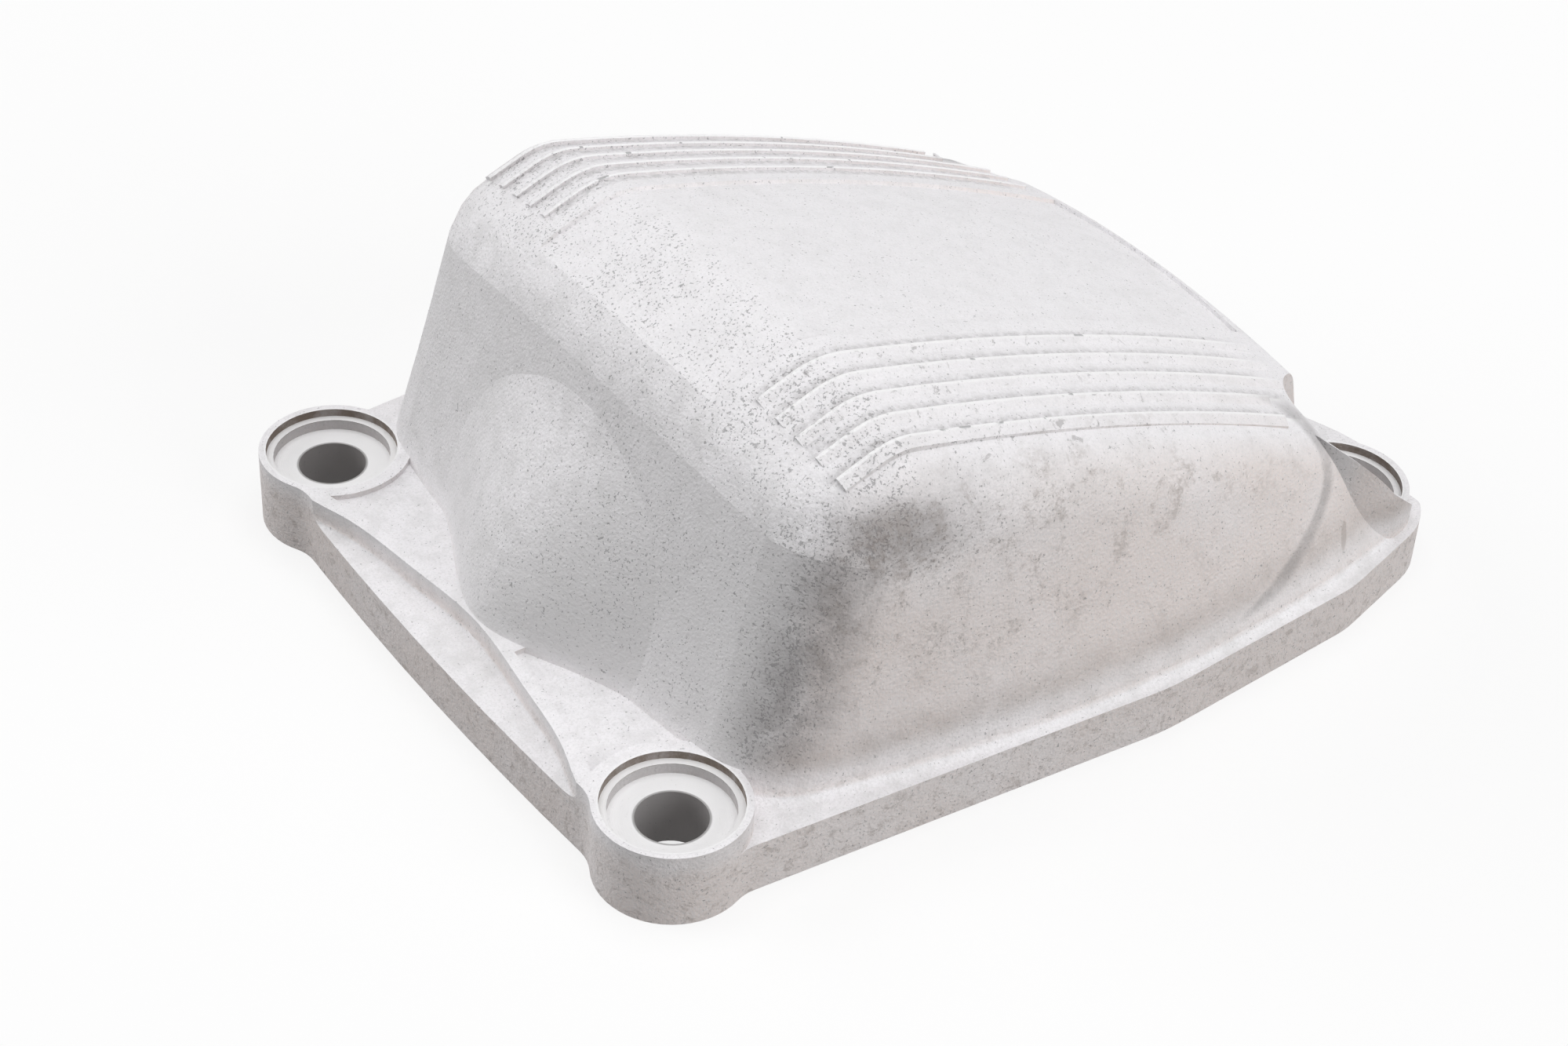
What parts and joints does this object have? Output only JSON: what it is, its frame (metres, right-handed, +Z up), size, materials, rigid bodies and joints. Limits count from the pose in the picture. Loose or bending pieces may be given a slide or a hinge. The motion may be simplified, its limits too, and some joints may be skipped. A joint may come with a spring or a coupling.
{
  "type": "engine valve cover",
  "caption": "Ribbed cast cover that bolts over an overhead-cam valve gear, with a domed cam end, a sloping crown and a bolting flange, open underneath",
  "frame": {"origin": "in the gasket plane, midway between the two rows of screws and on the middle plane of the cover", "axes": "+X runs from the high, domed end to the low end, +Y across the cover, +Z up out of the gasket plane towards the crown"},
  "size_m": [0.1772, 0.1484, 0.0716],
  "materials": {
    "cast_aluminium": "blasted casting"
  },
  "bodies": {
    "root": {"valve_cover": "cast_aluminium"}
  },
  "joints": []
}
